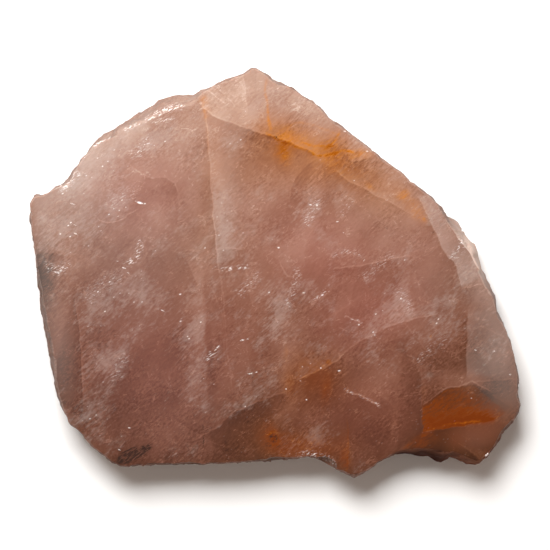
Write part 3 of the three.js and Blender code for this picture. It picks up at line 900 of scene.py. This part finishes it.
def add_mottle(tree, point, place, cloud):
    """Unevenness of the clear stone: broad, fine, and a step from shard to shard between healed cracks."""
    broad = grain(tree, point, (22, 14, 16), 3, 0.5, turn=60)
    broad = add(tree, "MapRange", {0: broad, 1: 0.3, 2: 0.7, 3: -0.045, 4: 0.045}, **SOFT)
    cloud = add(tree, "Math", {0: broad, 1: cloud}, operation="ADD")
    fine = grain(tree, point, (2, 0.9, 2), 5, 0.8, turn=42)
    fine = add(tree, "MapRange", {0: fine, 1: 0.3, 2: 0.7, 3: -1, 4: 1}, **SOFT)
    drift = grain(tree, point, (15, 8, 10), 3, 0.6, turn=25)
    drift = add(tree, "MapRange", {0: drift, 1: 0.42, 2: 0.6, 3: 0.035, 4: 0.112}, **SOFT)
    cloud = add(tree, "Math", {0: fine, 1: drift, 2: cloud}, operation="MULTIPLY_ADD")
    tone = add(tree, "TexVoronoi", {"Vector": place, "Scale": 1 / 17}, "Color")
    tone = reach(tree, tone, (0.06, 0, 0))
    cloud = add(tree, "Math", {0: cloud, 1: tone}, operation="ADD")
    cloud = add(tree, "Math", {0: cloud, 1: 0.03}, operation="SUBTRACT")
    cracks = add_cracks(tree, point)
    return add(tree, "Math", {0: cracks, 1: 0.18, 2: cloud}, operation="MULTIPLY_ADD")


def add_cracks(tree, point):
    """Short healed cracks, as thin as hairs, in drifts."""
    swirl = grain(tree, point, (7, 3.2, 4), 3, 0.6, turn=32, swirl=0.6)
    swirl = add(tree, "Math", {0: swirl, 1: 0.5}, operation="SUBTRACT")
    swirl = add(tree, "Math", {0: swirl}, operation="ABSOLUTE")
    crack = add(tree, "MapRange", {0: swirl, 1: 0.022, 2: 0}, **SOFT)
    drift = grain(tree, point, (6, 4, 4), 2, 0.5, turn=-20)
    drift = add(tree, "MapRange", {0: drift, 1: 0.5, 2: 0.62}, **SOFT)
    crack = add(tree, "Math", {0: crack, 1: 0}, operation="MAXIMUM")
    return add(tree, "Math", {0: crack, 1: drift}, operation="MULTIPLY")


def add_silk(tree, point, crisp, soft, stroke):
    """Banks of fine needles that make the stone milky: curdled, and combed towards the upper right."""
    drift = grain(tree, point, (13, 8, 10), 4, 0.6, turn=50)
    banks = soft.total(drift, soft.patch, SILK_BANKS)
    banks = crisp.total(banks, crisp.fracture, SILK_VEILS)
    curd = grain(tree, point, (2.6, 1.2, 1.8), 7, 0.72, turn=38)
    gathered = add(tree, "Math", {0: curd, 1: 0.9, 2: banks}, operation="MULTIPLY_ADD")
    gathered = add(tree, "Math", {0: stroke, 1: 0.3, 2: gathered}, operation="MULTIPLY_ADD")
    return add(tree, "MapRange", {0: gathered, 1: 1.08, 2: 1.5}, **SOFT)


def add_milk(tree, cloud, silk, crisp, soft):
    """The body's colour, from smoky to pale pink, with silk and grey, pinker and mauve places over it."""
    tones = [(0, "#2c160d"), (0.15, "#553221"), (0.3, "#724938"), (0.45, "#875f4e")]
    tones += [(0.6, "#9b7565"), (0.75, "#b19180"), (0.9, "#c9b0a2"), (1, "#ddc9bc")]
    body = add(tree, "ValToRGB", {"Fac": cloud}, stops=tones)
    grey = crisp.total(0.0, crisp.patch, GREY_PATCHES)
    grey = crisp.total(grey, crisp.fracture, GREY_FRACTURES)
    milk = add(tree, "Math", {0: silk, 1: 0.25, 2: grey}, operation="MULTIPLY_ADD", use_clamp=True)
    body = add(tree, "Mix", {0: milk, 6: body, 7: linear("#cabbb2")}, 2, data_type="RGBA")
    for patches, colour in ((ROSE_PATCHES, "#a8605a"), (MAUVE_PATCHES, "#82606a")):
        tint = soft.total(0.0, soft.patch, patches)
        body = add(tree, "Mix", {0: tint, 6: body, 7: linear(colour)}, 2, data_type="RGBA")
    return body


def add_stain(tree, body, cloud, crisp):
    """Iron stain, broken up along the clefts that it crept into: orange in pale stone, brown in dark."""
    creep = grain(tree, crisp.place, (3.4, 0.9, 3), 6, 0.72, turn=34)
    creep = add(tree, "MapRange", {0: creep, 1: 0.34, 2: 0.66, 3: 0.5, 4: 1.3}, **SOFT)
    iron = crisp.total(0.0, crisp.patch, IRON_PATCHES)
    iron = crisp.total(iron, crisp.fracture, IRON_LINES)
    iron = add(tree, "Math", {0: iron, 1: creep}, operation="MULTIPLY")
    iron = crisp.total(iron, crisp.patch, IRON_BREATH)
    corner = crisp.total(0.0, crisp.patch, CORNER_STAIN)
    corner = {0: corner, 1: crisp.panel(CORNER_PANEL, 0.5)}
    corner = add(tree, "Math", corner, operation="MULTIPLY")
    patchy = add(tree, "MapRange", {0: creep, 1: 0.5, 2: 1.3, 3: 0.55, 4: 1.25}, **SOFT)
    iron = add(tree, "Math", {0: corner, 1: patchy, 2: iron}, operation="MULTIPLY_ADD")
    pale = [(0, "#b98868"), (0.25, "#bc8054"), (0.5, "#c27a2e"), (0.75, "#c27410"), (1, "#a0520c")]
    deep = [(0, "#6c4230"), (0.25, "#724022"), (0.5, "#7a3c16"), (0.75, "#7c390c"), (1, "#702f08")]
    pale = add(tree, "ValToRGB", {"Fac": iron}, stops=pale)
    deep = add(tree, "ValToRGB", {"Fac": iron}, stops=deep)
    lightness = add(tree, "MapRange", {0: cloud, 1: 0.15, 2: 0.6}, **SOFT)
    stain = add(tree, "Mix", {0: lightness, 6: deep, 7: pale}, 2, data_type="RGBA")
    thin = add(tree, "Math", {0: iron, 1: 1.1}, operation="MULTIPLY", use_clamp=True)
    return add(tree, "Mix", {0: thin, 6: body, 7: stain}, 2, data_type="RGBA")


def add_dark_marks(tree, body, point, crisp):
    """Black-brown marks of iron, and darkened chips along the lower edge, speckled."""
    speckle = grain(tree, point, (2.2, 0.5, 1), 5, 0.7, turn=36)
    speckle = add(tree, "MapRange", {0: speckle, 1: 0.45, 2: 0.55, 3: 0, 4: 1.2}, **SOFT)
    dark = crisp.total(0.0, crisp.spot, DARK_MARKS)
    dark = add(tree, "Math", {0: dark, 1: speckle}, operation="MULTIPLY", use_clamp=True)
    return add(tree, "Mix", {0: dark, 6: body, 7: linear("#35251f")}, 2, data_type="RGBA")


def add_painted_glints(tree, point, depth, silk, crisp):
    """Painted highlights where the clefts near the polished face flash: ragged flakes, rows of glints, and
    glitter.
    """
    flakes = [(100, *LARGEST_FLAKE), *((FLAKE_SHINE, *glint) for glint in FLAKES)]
    glint = crisp.total(0.0, crisp.spot, flakes)
    ragged = grain(tree, point, (0.9, 0.45, 0.6), 2, 0.6, turn=35)
    ragged = add(tree, "MapRange", {0: ragged, 1: 0.4, 2: 0.58, 3: 0.1, 4: 1.2}, **SOFT)
    glint = add(tree, "Math", {0: glint, 1: ragged}, operation="MULTIPLY")
    glint_rows = crisp.total(0.0, crisp.fracture, GLINT_ROWS)
    keen = grain(tree, point, (1.8, 0.55, 1), 4, 0.7, turn=28)
    keen = add(tree, "MapRange", {0: keen, 1: 0.52, 2: 0.64}, **SOFT)
    glint = add(tree, "Math", {0: glint_rows, 1: keen, 2: glint}, operation="MULTIPLY_ADD")
    glitter = add_painted_glitter(tree, point, silk)
    glint = add(tree, "Math", {0: glint, 1: glitter}, operation="ADD", use_clamp=True)
    near_face = add(tree, "MapRange", {0: depth, 1: -4, 2: -1}, **SOFT)
    return add(tree, "Math", {0: glint, 1: near_face}, operation="MULTIPLY", use_clamp=True)


def add_painted_glitter(tree, point, silk):
    """Painted highlights: tiny clefts among the needles that flash white."""
    stretched = {"Vector": point, "Rotation": (0, 0, math.radians(30)), "Scale": (1.5, 0.85, 1.2)}
    stretched = add(tree, "Mapping", stretched, vector_type="TEXTURE")
    cleft = {"Vector": stretched, "Scale": 1}
    cleft = add(tree, "TexVoronoi", cleft, "Distance")
    chance = reach(tree, cleft.node.outputs["Color"], (1, 0, 0))
    size = add(tree, "MapRange", {0: cleft, 1: 0.34, 2: 0.12}, **SOFT)
    rare = add(tree, "MapRange", {0: chance, 1: 0.9, 2: 0.96}, **SOFT)
    where = add(tree, "MapRange", {0: silk, 1: 0.2, 2: 0.9, 3: 0.04, 4: 0.9}, **SOFT)
    some = add(tree, "Math", {0: size, 1: rare}, operation="MULTIPLY")
    return add(tree, "Math", {0: some, 1: where}, operation="MULTIPLY")


# -------------------- the stone's finishes


def quartz_material(name, group, roughness):
    """Rose quartz: a hard clear mineral made milky by fine needles, so light goes a little way into it."""
    material = bpy.data.materials.new(name)
    material.use_nodes = True
    tree = material.node_tree
    shader = tree.nodes["Principled BSDF"]
    body = add(tree, "Group", {}, "Colour", node_tree=group)
    tree.links.new(body, shader.inputs["Base Color"])
    shader.inputs["IOR"].default_value = QUARTZ_IOR
    shader.inputs["Roughness"].default_value = roughness
    shader.inputs["Subsurface Weight"].default_value = 0.25
    shader.inputs["Subsurface Scale"].default_value = 2 * MM
    shader.inputs["Subsurface Radius"].default_value = (1.0, 0.55, 0.4)
    return material, tree, shader


def break_rim(tree, shader):
    """Broken, not sawn: chipped all over, with a painted highlight along its upper edge and painted shade
    where steep.
    """
    colour = shader.inputs["Base Color"].links[0].from_socket
    point = stone_place(tree)
    normal = add(tree, "NewGeometry", {}, "Normal")
    # painted shade: the steeper the rim, the darker it is painted, as less light falls on it
    steep = reach(tree, normal)
    steep = add(tree, "MapRange", {0: steep, 1: 0.98, 2: 0.2, 3: 0.08, 4: 0.62}, **SOFT)
    grey = add(tree, "Mix", {0: 0.2, 6: colour, 7: linear("#9a8478")}, 2, data_type="RGBA")
    steep_shade = add(tree, "Mix", {0: steep, 6: grey, 7: linear("#604539")}, 2, data_type="RGBA")
    # a painted highlight along the upper edge, where it catches the lamp, and a lip on the right painted pale
    # with the light that comes through it
    edge_highlight = {0: reach(tree, point), 1: FACE_HEIGHT - 1.3, 2: FACE_HEIGHT - 0.1, 3: 0, 4: 0.12}
    edge_highlight = add(tree, "MapRange", edge_highlight, **SOFT)
    broken = grain(tree, point, (1.6, 1.2, 1), 4, 0.65, turn=20)
    broken = add(tree, "MapRange", {0: broken, 1: 0.4, 2: 0.6}, **SOFT)
    edge_highlight = add(tree, "Math", {0: edge_highlight, 1: broken}, operation="MULTIPLY")
    # painted light: the thin lip on the right is painted pale, as light comes through it
    pale = {0: Layout(tree, point).patch(80, 10, 9, 24, 22), 1: 0.6, 2: edge_highlight}
    pale = add(tree, "Math", pale, operation="MULTIPLY_ADD", use_clamp=True)
    edged = add(tree, "Mix", {0: pale, 6: steep_shade, 7: linear("#e2cabd")}, 2, data_type="RGBA")
    # painted highlights: the flashing clefts turn the rim near white too
    glint = colour.node.outputs["Glint"]
    edged = add(tree, "Mix", {0: glint, 6: edged, 7: linear("#fff6f0")}, 2, data_type="RGBA")
    tree.links.new(edged, shader.inputs["Base Color"])
    chips = grain(tree, point, (2.4, 1.1, 1.4), 5, 0.6, turn=30)
    shell = add(tree, "TexVoronoi", {"Vector": point, "Scale": 1 / 3.2}, "Distance")
    chips = add(tree, "Math", {0: shell, 1: 0.5, 2: chips}, operation="MULTIPLY_ADD")
    relief = add(tree, "Bump", {"Height": chips, "Strength": 0.7, "Distance": 0.8 * MM})
    tree.links.new(relief, shader.inputs["Normal"])
    shader.inputs["Specular IOR Level"].default_value = 0.15
    return edged


def saw_face(tree, shader):
    """Left from the saw: matt and hazy, scored in faint arcs by a blade much wider than the stone."""
    colour = shader.inputs["Base Color"].links[0].from_socket
    point = stone_place(tree)
    arcs = add(tree, "VectorMath", {0: point, 1: BLADE_CENTRE}, "Value", operation="DISTANCE")
    drift = grain(tree, point, (30, 30, 30), 3, 0.6)
    arcs = add(tree, "Math", {0: drift, 1: 5, 2: arcs}, operation="MULTIPLY_ADD")
    arcs = add(tree, "Math", {0: arcs, 1: 2 * math.pi / SAW_PITCH}, operation="MULTIPLY")
    arcs = add(tree, "Math", {0: arcs}, operation="SINE")
    fine = grain(tree, point, (1.2, 1.2, 1.2), 5, 0.7)
    worn = grain(tree, point, (26, 14, 20), 3, 0.6, turn=20)
    worn = add(tree, "MapRange", {0: worn, 1: 0.4, 2: 0.65, 3: 0.02, 4: 0.16}, **SOFT)
    height = add(tree, "Math", {0: arcs, 1: worn, 2: fine}, operation="MULTIPLY_ADD")
    haze = add(tree, "MapRange", {0: height, 1: 0.1, 2: 0.95, 3: 0.12, 4: 0.34}, **SOFT)
    dusty = add(tree, "Mix", {0: haze, 6: colour, 7: linear("#cbb8ae")}, 2, data_type="RGBA")
    tree.links.new(dusty, shader.inputs["Base Color"])
    relief = add(tree, "Bump", {"Height": height, "Strength": 0.35, "Distance": 0.15 * MM})
    tree.links.new(relief, shader.inputs["Normal"])
    shader.inputs["Specular IOR Level"].default_value = 0.3


def paint_wall_shade(tree, shader):
    """Painted shade on the lower right wall: clear quartz painted nearly black-brown, as it stands in the
    shade and no light comes through from behind.
    """
    edged = break_rim(tree, shader)
    point = stone_place(tree)
    # painted shade: where the lower right wall stands in shade, it is painted nearly black-brown
    where = Layout(tree, point).patch(68, -72, 25, 40, core=0.6)
    where = add(tree, "Math", {0: where, 1: 0.85}, operation="MULTIPLY", use_clamp=True)
    # the painted shade eases towards the wall's top and at its tip
    high = {0: reach(tree, point), 1: 12.5, 2: FACE_HEIGHT, 3: 0, 4: 0.7}
    high = add(tree, "MapRange", high, **SOFT)
    tip = Layout(tree, point).patch(86, -76, 21, 30, core=0.4)
    tip = add(tree, "Math", {0: tip, 1: high}, operation="MAXIMUM")
    brown = {0: tip, 6: linear("#34140a"), 7: linear("#6a4230")}
    brown = add(tree, "Mix", brown, 2, data_type="RGBA")
    shaded_wall_colour = add(tree, "Mix", {0: where, 6: edged, 7: brown}, 2, data_type="RGBA")
    tree.links.new(shaded_wall_colour, shader.inputs["Base Color"])
    shader.inputs["Specular IOR Level"].default_value = 0.08


# In the order of POLISHED, BROKEN, SAWN and SHADED_WALL: name, roughness, and what else makes the finish. The
# polished face has nothing more: it is as smooth as glass, and the lamp shows in it as a soft sheen.
FINISHES = (
    ("polished_rose_quartz", 0.12, None),
    ("broken_rose_quartz", 0.55, break_rim),
    ("sawn_rose_quartz", 0.6, saw_face),
    ("painted_shade_quartz_wall", 0.85, paint_wall_shade),
)


# -------------------- the stone's shape


def carve_stone(cad):
    """The sawn slab with the rim's breaks made finer: two flat faces, and a rim of small facets."""
    shape = bmesh.new()
    shape.from_mesh(cad.data)
    bmesh.ops.remove_doubles(shape, verts=shape.verts, dist=WELD)
    bmesh.ops.dissolve_limit(shape, angle_limit=LEVEL, verts=shape.verts, edges=shape.edges)
    walls = [edge for edge in shape.edges if any(is_wall(face) for face in edge.link_faces)]
    bmesh.ops.subdivide_edges(shape, edges=walls, cuts=1, use_grid_fill=True)
    shape.normal_update()
    chip_rim(shape)
    for face in shape.faces:
        face.material_index = finish_of(face)
        face.smooth = is_wall(face)
    for edge in shape.edges:
        edge.smooth = edge.calc_face_angle(0) < RIDGE
    mesh = bpy.data.meshes.new("rose_quartz_slice")
    shape.to_mesh(mesh)
    shape.free()
    stone = bpy.data.objects.new("polished_quartz_slice", mesh)
    bpy.context.scene.collection.objects.link(stone)
    return stone


def chip_rim(shape):
    """Moves the rim's points in and out, so that it breaks into flat chips from 5 mm down to 1 mm across."""
    noise.seed_set(RIM_SEED)
    moves = []
    for vert in shape.verts:
        outward = Vector((vert.normal.x, vert.normal.y, 0)) if is_on_face(vert) else vert.normal
        if outward.length > 0.01 and any(is_wall(face) for face in vert.link_faces):
            share = CHIP_SHARE_ON_FACE if is_on_face(vert) else 1
            moves.append((vert, outward.normalized() * chip_height(vert.co / MM) * share * MM))
    for vert, move in moves:
        vert.co += move


def chip_height(place):
    """How far the chips stand out at a place, both in mm. Each chip is flat and tilts its own way."""
    height = 0
    for size, depth in CHIPS:
        _, centres = noise.voronoi(place / size)
        tilt = noise.noise_vector(centres[0] * CHIP_SPREAD)
        rise = CHIP_TILT * tilt.dot(place / size - centres[0])
        height += depth * max(-1, min(1, rise))
    return height


def is_on_face(vert):
    return min(vert.co.z, THICKNESS - vert.co.z) < ON_FACE


def is_wall(face):
    return finish_of(face) in (BROKEN, SHADED_WALL)


def finish_of(face):
    """Which finish a face has, from where it lies."""
    heights = [v.co.z for v in face.verts]
    if min(heights) > THICKNESS - ON_FACE:
        return POLISHED
    if max(heights) < ON_FACE:
        return SAWN
    place = face.calc_center_median() / MM
    return SHADED_WALL if SHADED_WALL_SPAN[0] < place.x < SHADED_WALL_SPAN[1] and place.y < SHADED_WALL_TOP else BROKEN


# -------------------- the scene

set_camera()
set_light()
set_table()

stone = carve_stone(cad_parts["rose_quartz_slice"])
body = quartz_body()
for name, roughness, work in FINISHES:
    material, tree, shader = quartz_material(name, body, roughness)
    if work:
        work(tree, shader)
    stone.data.materials.append(material)
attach(stone, "root")
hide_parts("rose_quartz_slice")

bpy.context.scene.view_settings.view_transform = "Standard"
